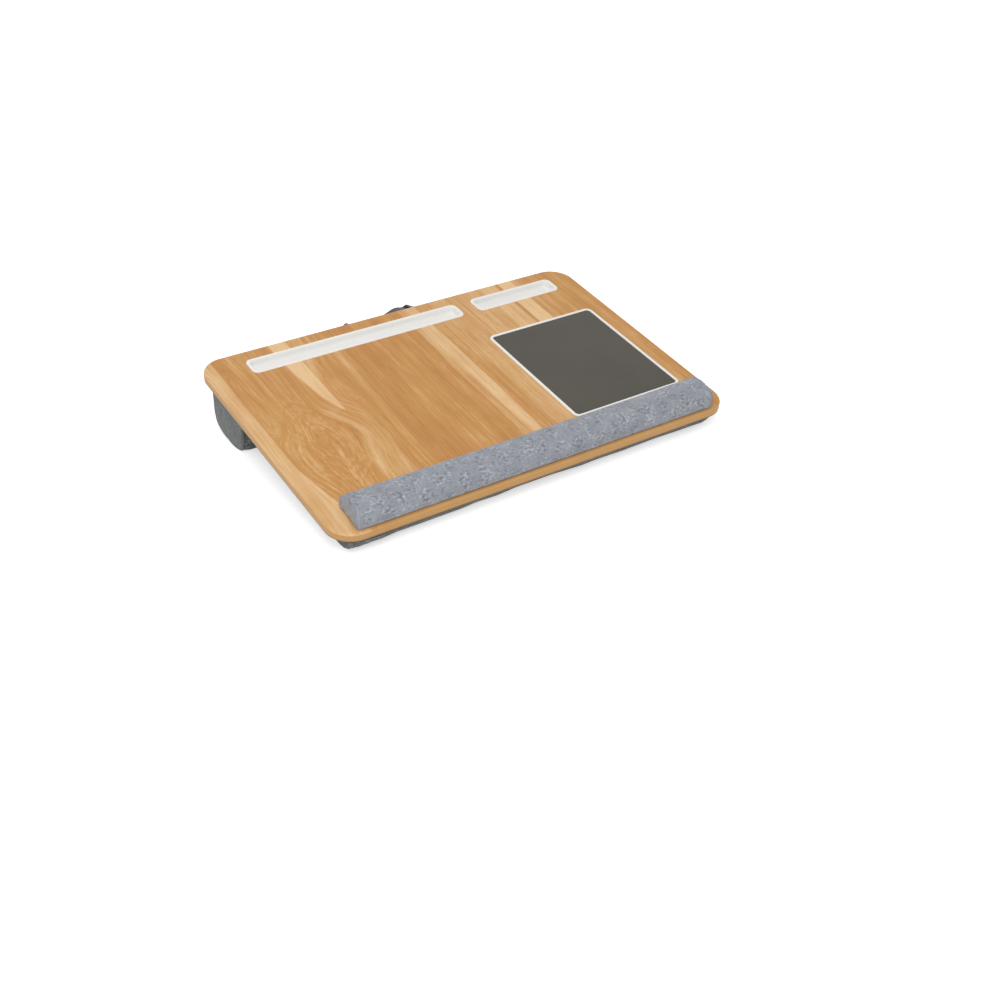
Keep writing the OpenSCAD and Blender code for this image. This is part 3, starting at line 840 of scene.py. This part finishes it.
class LAPDESK_OT_mouse_pad(bpy.types.Operator):
    """Builds the mouse pad: a thin moulded frame round a dark textured sheet"""
    bl_idname = "lapdesk.mouse_pad"
    bl_label = "Mouse pad"

    def execute(self, context):
        s, colours = context.scene.lapdesk_sizes, context.scene.lapdesk_colours
        low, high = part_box("pad_frame")
        cx, cy = (low.x + high.x) / 2, 0.065 + s.pad_depth / 2
        base, top = s.board_thickness - 1.8 * MM, s.board_thickness + 0.8 * MM
        rim = rounded_block("mouse_pad_frame", (s.pad_width, s.pad_depth, top - base),
                            (cx, cy, (top + base) / 2), s.pad_corner, 12)
        edit(rim)
        pick(rim, "FACE", lambda f: abs(f.normal.z) > 0.99)
        inset(s.pad_band)
        bpy.ops.mesh.bridge_edge_loops()
        pick(rim, "EDGE", upper_rim(top))
        bevel(0.55 * MM)
        face_out(rim)
        lay_on_desk(rim)
        smooth(rim, 40)
        finish = moulding_material("White moulding, frame", colours, s.board_thickness / MM - 3)
        dress(rim, finish, nodes=("pad_frame",))

        gap = s.pad_band + 0.15 * MM
        face = base + 2.2 * MM
        pad = rounded_block("mouse_pad_sheet",
                            (s.pad_width - 2 * gap, s.pad_depth - 2 * gap, face - base),
                            (cx, cy, (face + base) / 2), s.pad_corner - gap, 10)
        edit(pad)
        pick(pad, "EDGE", upper_rim(face))
        bevel(0.5 * MM)
        leave()
        lay_on_desk(pad)
        smooth(pad, 40)
        made, tree, shader = material("Mouse pad sheet")
        where = board_millimetres(tree)
        cells = place(tree, "TexVoronoi", {"Vector": where, "Scale": 1.5,
                                           "Randomness": 0.9}).outputs["Distance"]
        fine = noise(tree, where, 2.4, 3.0, 0.6)
        clouds = noise(tree, where, 0.012, 2.0, 0.5)
        marks = use(tree, wear_group(), {"Millimetres": where})
        tint = mix(tree, span(tree, fine, 0.35, 0.65, 0.0, 0.35),
                   tuple(colours.pad_sheet), plain("605C54"))
        tint = mix(tree, span(tree, clouds, 0.4, 0.65, 0.0, 0.5), tint, plain("504D47"))
        rough = plus(tree, times(tree, fine, 0.15), times(tree, marks.outputs["Mask"], -0.08))
        rough = plus(tree, rough, 0.58)
        relief = plus(tree, times(tree, cells, 0.7), times(tree, fine, 0.5))
        connect(tree, shader, colour=tint, roughness=rough,
                normal=bump(tree, relief, 0.00008, 0.7))
        shader.inputs["Specular IOR Level"].default_value = 0.3
        dress(pad, made, nodes=("mouse_pad", "pad_foam"))
        return {"FINISHED"}


class LAPDESK_OT_wrist_rest(bpy.types.Operator):
    """Pads the wrist rest: foam swollen under a stretched melange cover"""
    bl_idname = "lapdesk.wrist_rest"
    bl_label = "Wrist rest"

    def execute(self, context):
        s, colours = context.scene.lapdesk_sizes, context.scene.lapdesk_colours
        base = s.board_thickness
        cy, half_y, half_x, high, fullness = 0.029, 0.024, 0.250, 0.0235, 2.7
        rest = stuffed("wrist_rest", "wrist_foam", 3.2 * MM, 2.0 * MM,
                       lambda p: p[:, 2] < base + 4.2 * MM)
        co = points_of(rest)
        lift = co[:, 2] - base
        # The cover comes down to the board all round, where its edge is tucked under.
        foot = np.clip(1 - (lift - 1.7 * MM) / (5 * MM), 0, 1)
        lift = np.maximum(0.0, lift - 1.75 * MM * foot)
        x, y = co[:, 0], co[:, 1] - cy
        scale = fill_out(y, lift, half_x - np.abs(x), half_y, high, fullness)
        y, lift = y * scale, lift * scale
        low = np.clip(1 - lift / (6 * MM), 0, 1)
        y += np.sign(y) * 0.9 * MM * np.clip(np.abs(y) / half_y, 0, 1) ** 6 * low
        # The ends stand nearly upright, with gathers running down to the tucked edge.
        end = np.clip((np.abs(x) - half_x + 0.055) / 0.055, 0, 1) ** 2
        near = np.clip((np.abs(x) - half_x + 0.024) / 0.020, 0, 1)
        lean = np.where(x > 0, 1.6, -1.2 * y / half_y)
        x += np.sign(x) * (1.6 + lean + 2.2 * np.clip(lift / (0.6 * high), 0, 1)) * near * MM
        ring = ring_of(y, lift, half_y, high, fullness)[0]
        stop = half_x + 0.5 * MM
        left, scale = square_end(stop - np.abs(x), ring, 9 * MM, 0.38,
                                 np.where(x > 0, 1.0, 0.7))
        x = np.sign(x) * (stop - left)
        y, lift = y * scale, lift * scale
        side = np.clip(1 - lift / (14 * MM), 0, 1)
        pull = waver(x * 150, 1.3) * (0.10 + 0.35 * end) * side
        y += np.sign(y) * pull * MM
        raised = np.clip(lift / (12 * MM), 0, 1)
        z = lift + waver(x * 34 + y * 60, 4.1) * 0.22 * MM * raised
        z += (waver(y * 380, 0.4) * 0.35 + np.where(x > 0, 1.6 * end, 0)) * MM * near * raised
        x += np.sign(x) * waver(y * 320, 2.2) * 0.35 * MM * near
        reach = half_x + np.where(x > 0, 3.0, 0.4 - 1.2 * y / half_y) * MM
        x = np.clip(x, -reach, reach)
        y = np.clip(y, -half_y - 0.8 * MM, half_y + 0.8 * MM)
        co = np.stack([x, y + cy, base + np.clip(z, 0, high + (0.6 + 1.4 * end) * MM)], 1)
        set_points(rest, co)
        turn = np.arctan2(np.maximum(co[:, 2] - base, 0), (co[:, 1] - cy) * 0.9)
        flat = np.sqrt((y / half_y) ** 2 + (lift / high) ** 2)
        on_end = np.clip((np.abs(x) - half_x + 4 * MM) / (4 * MM), 0, 1)
        beyond = on_end * (1 - np.clip(flat, 0, 1)) * 0.024
        share = 1 - on_end
        set_threads(rest, x + np.sign(x) * beyond, share * turn * 0.0235
                    + (1 - share) * (0.012 - y + 0.2 * lift))
        cloth = cloth_material("Melange cloth, wrist rest", shades_of(colours, "rest"))
        lay_on_desk(rest)
        smooth(rest, 60)
        dress(rest, cloth, nodes=("wrist_cover", "wrist_foam"))

        strip, tree, shader = material("Stiff strip")
        where = board_millimetres(tree)
        fibres = noise(tree, stretch(tree, where, (0.2, 1.2, 1.0)), 1.5, 3.0, 0.6)
        connect(tree, shader, colour=mix(tree, fibres, plain("3A3733"), plain("5A544C")),
                normal=bump(tree, fibres, 0.0001, 0.6))
        shader.inputs["Roughness"].default_value = 0.8
        finish_node("wrist_base", strip)
        return {"FINISHED"}


class LAPDESK_OT_bolsters(bpy.types.Operator):
    """Stuffs the two bolsters and sews their end and base seams"""
    bl_idname = "lapdesk.bolsters"
    bl_label = "Bolsters"

    def execute(self, context):
        colours = context.scene.lapdesk_colours
        cloth = cloth_material("Melange cloth, bolsters", shades_of(colours, "bolster"))
        # The seam cords are the bolster cloth at 0.62 of its colour: painted shade for the groove
        # along each seam.
        sewn = cloth_material("Melange cloth, seams", shades_of(colours, "bolster", 0.62))
        lining = -1.0 * MM
        for name, centre, wide, drop, long, full, front, tuck, seed in (
                ("rear_bolster", 0.3035, 0.084, 0.0605, 0.543, 3.6, 5.0, 1.0, 0.7),
                ("front_bolster", 0.054, 0.102, 0.0262, 0.520, 2.3, 2.3, 0.0, 2.9)):
            piece = stuffed(name, name + "_fill", 4.5 * MM, 3.2 * MM,
                            lambda p: p[:, 2] > lining - 3.4 * MM)
            co = points_of(piece)
            x, y, z = co[:, 0], co[:, 1] - centre, co[:, 2] - lining
            near_top = np.clip(1 + (z + 1.4 * MM) / (6 * MM), 0, 1)
            z = z + 1.4 * MM * near_top
            power = np.where(y < 0, front, full)
            scale = fill_out(y, -z, long / 2 - np.abs(x), wide / 2, drop, power)
            y, z = y * scale, z * scale
            near = np.clip((np.abs(x) - long / 2 + 22 * MM) / (18 * MM), 0, 1)
            x = x + np.sign(x) * (1.2 + 1.6 * np.clip(-z / drop, 0, 1)) * near * MM
            ring = ring_of(y, -z, wide / 2, drop, power)[0]
            left, scale = square_end(long / 2 - np.abs(x), ring, 10 * MM, 9 * MM / drop, 0.5)
            x = np.clip(np.sign(x) * (long / 2 - left), -long / 2, long / 2)
            y, z = y * scale, z * scale
            deep = np.clip(-z / drop, 0, 1.05)
            ring = (np.abs(y) / (wide / 2)) ** power + deep ** power
            ring = np.maximum(ring, 1e-6) ** (1 / power)
            turn = np.arctan2(deep, y / (wide / 2))
            # The end seams draw the cloth in, and small puckers run out from them.
            from_end = long / 2 - np.abs(x)
            groove = np.exp(-((from_end - 5 * MM) / (2.6 * MM)) ** 2)
            pucker = waver(turn * 9, seed) * np.exp(-np.clip(from_end, 0, 1) / 0.022)
            pucker += waver(turn * 3 + x * 22, seed + 2) * 0.35
            from_top = np.clip(-z / (9 * MM), 0, 1)
            swell = (0.55 * pucker * from_top - 1.0 * groove * np.clip(ring, 0, 1)) * MM
            scale = 1 + swell / (0.5 * wide)
            y, z = y * scale, np.where(z < -2 * MM, z * (1 + swell / drop), z)
            z = np.minimum(z, -0.02 * MM)
            # The rear one is drawn in at its front corners; the front one's front runs uneven.
            ahead = np.clip(-y / (wide / 2), 0, 1)
            x -= np.sign(x) * tuck * (2.5 + 4.0 * deep ** 2) * near * ahead ** 2 * MM
            y += (1 - tuck) * np.interp(x / MM, *zip(*FRONT_LINE)) * ahead * MM
            beyond = np.where(from_end < 6 * MM, (1 - np.clip(ring, 0, 1)) * wide / 2, 0)
            co = np.stack([x, y + centre, z + lining], 1)
            set_points(piece, co)
            set_threads(piece, x + np.sign(x) * beyond, turn * (wide / 2 + drop) / 2)
            seams = []
            for side, label in ((-1, "left"), (1, "right")):
                seams.append(seam(f"{name}_seam_{label}", piece,
                                  (side * (long / 2 - 5 * MM), centre, 0), (1, 0, 0),
                                  0.55 * MM, sewn))
            seams.append(seam(f"{name}_base_seam", piece, (0, centre, lining - 1.6 * MM),
                              (0, 0, 1), 0.7 * MM, sewn))
            for part in [piece, *seams]:
                lay_on_desk(part)
                co = points_of(part)
                co[:, 2] = np.maximum(co[:, 2], 0.0)
                set_points(part, co)
            smooth(piece, 60)
            dress(piece, cloth, nodes=(
                name + "_sleeve", name + "_end_left", name + "_end_right", name + "_fill"))
        return {"FINISHED"}


class LAPDESK_OT_lining(bpy.types.Operator):
    """Lays the fabric lining under the board, with a stitched hem"""
    bl_idname = "lapdesk.lining"
    bl_label = "Underside lining"

    def execute(self, context):
        s, colours = context.scene.lapdesk_sizes, context.scene.lapdesk_colours
        low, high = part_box("underside_lining")
        wide, long = high.x - low.x, s.board_depth - 12 * MM
        cloth = rounded_block("lining", (wide, long, 0.98 * MM),
                              (0, s.board_depth / 2, -0.49 * MM), 26 * MM, 14)
        edit(cloth)
        pick(cloth, "FACE", lambda f: f.normal.z < -0.99)
        inset(4 * MM)
        inset(0.5 * MM, -0.35 * MM)
        inset(0.5 * MM, 0.35 * MM)
        leave()
        for side in (-1, 1):
            clear_selection()
            bpy.ops.mesh.primitive_cube_add(size=1, location=(
                side * 0.060, s.board_depth - 14 * MM, -0.5 * MM))
            notch = bpy.context.object
            notch.scale = (s.strap_width + 0.2 * MM, 28.2 * MM, 6 * MM)
            settle(notch)
            apply_modifier(cloth, "BOOLEAN", operation="DIFFERENCE", solver="EXACT",
                           object=notch)
            bpy.data.objects.remove(notch)
        co = points_of(cloth)
        set_threads(cloth, co[:, 0], co[:, 1])
        lay_on_desk(cloth)
        smooth(cloth, 40)
        woven = cloth_material("Melange cloth, lining", shades_of(colours, "bolster", 0.85))
        dress(cloth, woven, nodes=("underside_lining",))
        return {"FINISHED"}


def fold_sheet(across, along, lift, leg, span_mm, radius):
    """A point of the flat strap, folded over a 45 degree line at the corner, in millimetres."""
    corner = -span_mm / 2
    dx, dy = across, along - leg
    t = (dy - dx) / math.sqrt(2) + math.pi * radius / 2
    q = (dx + dy) / math.sqrt(2)
    a = min(max(t / radius, 0.0), math.pi)
    f = (t if t < 0 else math.pi * radius - t if t > math.pi * radius
         else radius * math.sin(a)) - math.pi * radius / 2
    z = -radius * (1 - math.cos(a))
    point = Vector((corner + (q - f) / math.sqrt(2), leg + (q + f) / math.sqrt(2), z))
    return point + lift * Vector((-math.sin(a) / math.sqrt(2), math.sin(a) / math.sqrt(2),
                                  math.cos(a)))


def strap_place(across, along, lift, side):
    """Room position of a flat strap point: along 0 is the hinge line, below 0 is the sewn end."""
    leg, span_mm, radius, bow, droop = 30.0, 120.0, 3.6, 1.2, math.radians(17)
    p = fold_sheet(across, along, lift, leg, span_mm, radius)
    p.x = -p.x if side > 0 else p.x
    k = p.x / (span_mm / 2)
    u = min(max(p.y / leg, 0.0), 1.0)
    e = u * u * (3 - 2 * u)
    rise = 8.3 * math.exp(-((k - 0.57) / 0.29) ** 2) - 3.2 - 2.4 * max(k, 0.0) ** 2
    y, z = p.y + bow * max(0.0, 1 - k * k) * e, p.z + rise * e
    bend = 3.0
    if y <= -bend:
        turn, v, w = 0.0, y, 0.0
    elif y < bend:
        turn = droop * (y + bend) / (2 * bend)
        arc = 2 * bend / droop
        v, w = -bend + arc * math.sin(turn), -arc * (1 - math.cos(turn))
    else:
        arc, turn = 2 * bend / droop, droop
        v = -bend + arc * math.sin(droop) + (y - bend) * math.cos(droop)
        w = -arc * (1 - math.cos(droop)) - (y - bend) * math.sin(droop)
    v, w = v + z * math.sin(turn), w + z * math.cos(turn)
    flat = Vector((p.x * MM, (379.0 + v) * MM, (-1.2 + w) * MM))
    return TO_ROOM @ flat


class LAPDESK_OT_strap(bpy.types.Operator):
    """Folds the carry strap from one flat band and stitches its edges"""
    bl_idname = "lapdesk.strap"
    bl_label = "Carry strap"

    def execute(self, context):
        s, colours = context.scene.lapdesk_sizes, context.scene.lapdesk_colours
        half, back, middle = s.strap_width / MM / 2, 30.0, 90.0
        total = 2 * (back + middle)
        rows, cols = 150, 14
        clear_selection()
        bpy.ops.mesh.primitive_grid_add(x_subdivisions=cols, y_subdivisions=rows, size=1,
                                        calc_uvs=True)
        strap = bpy.context.object
        strap.name = strap.data.name = "carry_strap"
        settle(strap)

        def fold(across, s_along, lift):
            """across from -1 to 1, s_along from 0 to 1 over the whole band."""
            run = s_along * total
            side = -1 if run <= total / 2 else 1
            run = run if side < 0 else total - run
            return strap_place(across * half, run - back, lift, side)

        co = points_of(strap)
        laid = [fold(2 * p[0], p[1] + 0.5, 0.0) for p in co]
        set_points(strap, [tuple(p) for p in laid])
        apply_modifier(strap, "SOLIDIFY", thickness=s.strap_thickness - 0.2 * MM, offset=0.0,
                       use_rim=True)
        face_out(strap)
        apply_modifier(strap, "BEVEL", width=0.7 * MM, segments=3, limit_method="ANGLE",
                       angle_limit=math.radians(50))
        smooth(strap, 50)
        cloth = cloth_material("Melange cloth, strap", shades_of(colours, "bolster"),
                               scale=(2 * half, total, 1.0))
        tree = cloth.node_tree
        shader = next(n for n in tree.nodes if n.type == "BSDF_PRINCIPLED")
        # The grip, the middle of the band, is darkened toward 242526: partly a darker cloth face,
        # partly painted shade.
        band = place(tree, "SeparateXYZ", {0: place(tree, "UVMap").outputs[0]}).outputs[1]
        grip_dark_cloth_and_shade = mix(tree, times(tree, window(tree, band, 0.25, 0.29, 0.71, 0.75), 0.6),
                     shader.inputs["Base Color"].links[0].from_socket, plain("242526"))
        tree.links.new(grip_dark_cloth_and_shade, shader.inputs["Base Color"])
        dress(strap, cloth, body=None,
              nodes=("handle_strap", "anchor_tab_left", "anchor_tab_right"))
        start, end = strap_place(0, -2.0, 0, -1), strap_place(0, 7.0, 0, -1)
        start.x = end.x = 0.0
        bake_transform(strap)

        # Rows of stitches near both edges, on both faces.
        clear_selection()
        bpy.ops.mesh.primitive_uv_sphere_add(segments=6, ring_count=4, radius=1)
        stitch = bpy.context.object
        edit(stitch)
        bpy.ops.mesh.select_all(action="SELECT")
        bpy.ops.transform.resize(value=(0.32 * MM, 1.15 * MM, 0.22 * MM))
        leave()
        sewn = []
        lift = s.strap_thickness / MM / 2 - 0.1
        count = int(total / 3.4)
        for edge in (-1, 1):
            across = edge * (1 - 2.6 / half)
            for face in (-1, 1):
                for k in range(count):
                    mid = (k + 0.5) / count
                    here = fold(across, mid, face * lift)
                    ahead = (fold(across, mid + 0.002, face * lift) - here).normalized()
                    out = (fold(across, mid, face * (lift + 0.5)) - here).normalized()
                    copy = stitch.copy()
                    copy.data = stitch.data.copy()
                    copy.matrix_world = Matrix.Translation(here) @ Matrix(
                        (ahead.cross(out), ahead, out)).transposed().to_4x4()
                    bpy.context.scene.collection.objects.link(copy)
                    sewn.append(copy)
        bpy.data.objects.remove(stitch)
        clear_selection()
        for copy in sewn:
            copy.select_set(True)
        bpy.context.view_layer.objects.active = sewn[0]
        bpy.ops.object.join()
        rows_of_stitches = bpy.context.object
        rows_of_stitches.name = rows_of_stitches.data.name = "strap_stitching"
        settle(rows_of_stitches)
        face_out(rows_of_stitches)
        take(rows_of_stitches)
        bpy.ops.object.shade_smooth()
        made, tree, shader = material("Sewing thread")
        where = place(tree, "TexCoord").outputs["Object"]
        twist = noise(tree, where, 2600.0, 2.0, 0.5)
        connect(tree, shader, colour=mix(tree, twist, plain("55585A"), plain("85888A")),
                normal=bump(tree, twist, 0.00005, 0.6))
        shader.inputs["Roughness"].default_value = 0.6
        dress(rows_of_stitches, made, body=None)
        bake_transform(rows_of_stitches)
        return {"FINISHED"}


class LAPDESK_OT_staples(bpy.types.Operator):
    """Finishes the staples that hold the strap's ends"""
    bl_idname = "lapdesk.staples"
    bl_label = "Staples"

    def execute(self, context):
        made, tree, shader = material("Staple wire")
        where = board_millimetres(tree)
        drawn = grain(tree, where, (0.5, 6.0, 6.0), 3.0, 0.6)
        marks = use(tree, wear_group(), {"Millimetres": where})
        tint = mix(tree, drawn, plain("9A9A9E"), plain("C9C9CC"))
        rough = plus(tree, times(tree, marks.outputs["Mask"], 0.2), 0.28)
        connect(tree, shader, colour=tint, roughness=rough,
                normal=bump(tree, drawn, 0.00002, 0.5))
        shader.inputs["Metallic"].default_value = 1.0
        finish_node("anchor_staples", made)
        return {"FINISHED"}


class LAPDESK_OT_stage(bpy.types.Operator):
    """Sets the pale floor, the soft lights and the camera"""
    bl_idname = "lapdesk.stage"
    bl_label = "Stage"

    def execute(self, context):
        scene = context.scene
        scene.view_settings.view_transform = "Standard"
        clear_selection()
        bpy.ops.mesh.primitive_plane_add(size=14, location=(0, 0, -0.0004))
        floor = bpy.context.object
        floor.name = "floor"
        settle(floor)
        made, tree, shader = material("Pale floor")
        eye, camera_ray = direct_view(tree)
        shader.inputs["Base Color"].default_value = (0.86, 0.86, 0.86, 1.0)
        shader.inputs["Roughness"].default_value = 0.9
        shader.inputs["Specular IOR Level"].default_value = 0.1
        shader.inputs["Emission Color"].default_value = (1.0, 1.0, 1.0, 1.0)
        tree.links.new(times(tree, eye, 0.555), shader.inputs["Emission Strength"])
        below = place(tree, "NewGeometry").outputs["Backfacing"]
        tree.links.new(less(tree, 1.0, times(tree, below, camera_ray)), shader.inputs["Alpha"])
        floor.data.materials.append(made)

        world = bpy.data.worlds.new("Studio")
        scene.world = world
        world.use_nodes = True
        tree = world.node_tree
        tree.nodes.clear()
        eye = direct_view(tree)[0]
        sky = place(tree, "Background", {"Color": (1.0, 1.0, 1.0, 1.0),
                                         "Strength": span(tree, eye, 0.0, 1.0, 0.52, 1.0)})
        tree.links.new(sky.outputs[0], place(tree, "OutputWorld").inputs[0])

        for name, place_at, size, power in (
                ("front_left", (-0.9, -1.5, 1.9), 1.5, 26.0),
                ("overhead", (-0.2, 0.8, 2.0), 1.8, 6.0)):
            lamp = bpy.data.lights.new(name, "AREA")
            lamp.size, lamp.energy = size, power
            lit = add_object(name, lamp)
            lit.location = place_at
            lit.rotation_euler = (Vector((0, 0, 0.05)) - Vector(place_at)).to_track_quat(
                "-Z", "Y").to_euler()

        lens = bpy.data.cameras.new("camera")
        lens.lens, lens.sensor_width = 47.1785, 36.0
        lens.clip_start, lens.clip_end = 0.05, 60.0
        camera = add_object("camera", lens)
        camera.location = (-0.76642789, -1.25539051, 0.83309322)
        camera.rotation_euler = [math.radians(a) for a in (56.7467447, -0.1915208, -33.517387)]
        scene.camera = camera
        return {"FINISHED"}


STEPS = (LAPDESK_OT_stage, LAPDESK_OT_board, LAPDESK_OT_trays, LAPDESK_OT_mouse_pad,
         LAPDESK_OT_wrist_rest, LAPDESK_OT_bolsters, LAPDESK_OT_lining, LAPDESK_OT_strap,
         LAPDESK_OT_staples)


class LAPDESK_PT_panel(bpy.types.Panel):
    """Lists the steps that dress the lap desk"""
    bl_idname = "LAPDESK_PT_panel"
    bl_label = "Lap desk"
    bl_space_type = "VIEW_3D"
    bl_region_type = "UI"
    bl_category = "Lap desk"

    def draw(self, context):
        for step in STEPS:
            self.layout.operator(step.bl_idname)
        for held in (context.scene.lapdesk_sizes, context.scene.lapdesk_colours):
            column = self.layout.column()
            for name in held.__annotations__:
                column.prop(held, name)


CLASSES = (LapDeskSizes, LapDeskColours, *STEPS, LAPDESK_PT_panel)


def register():
    for made in CLASSES:
        bpy.utils.register_class(made)
    bpy.types.Scene.lapdesk_sizes = PointerProperty(type=LapDeskSizes)
    bpy.types.Scene.lapdesk_colours = PointerProperty(type=LapDeskColours)


def unregister():
    del bpy.types.Scene.lapdesk_colours
    del bpy.types.Scene.lapdesk_sizes
    for made in reversed(CLASSES):
        bpy.utils.unregister_class(made)


def main():
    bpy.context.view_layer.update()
    register()
    for step in STEPS:
        getattr(bpy.ops.lapdesk, step.bl_idname.split(".")[1])()


if __name__ == "__main__":
    main()
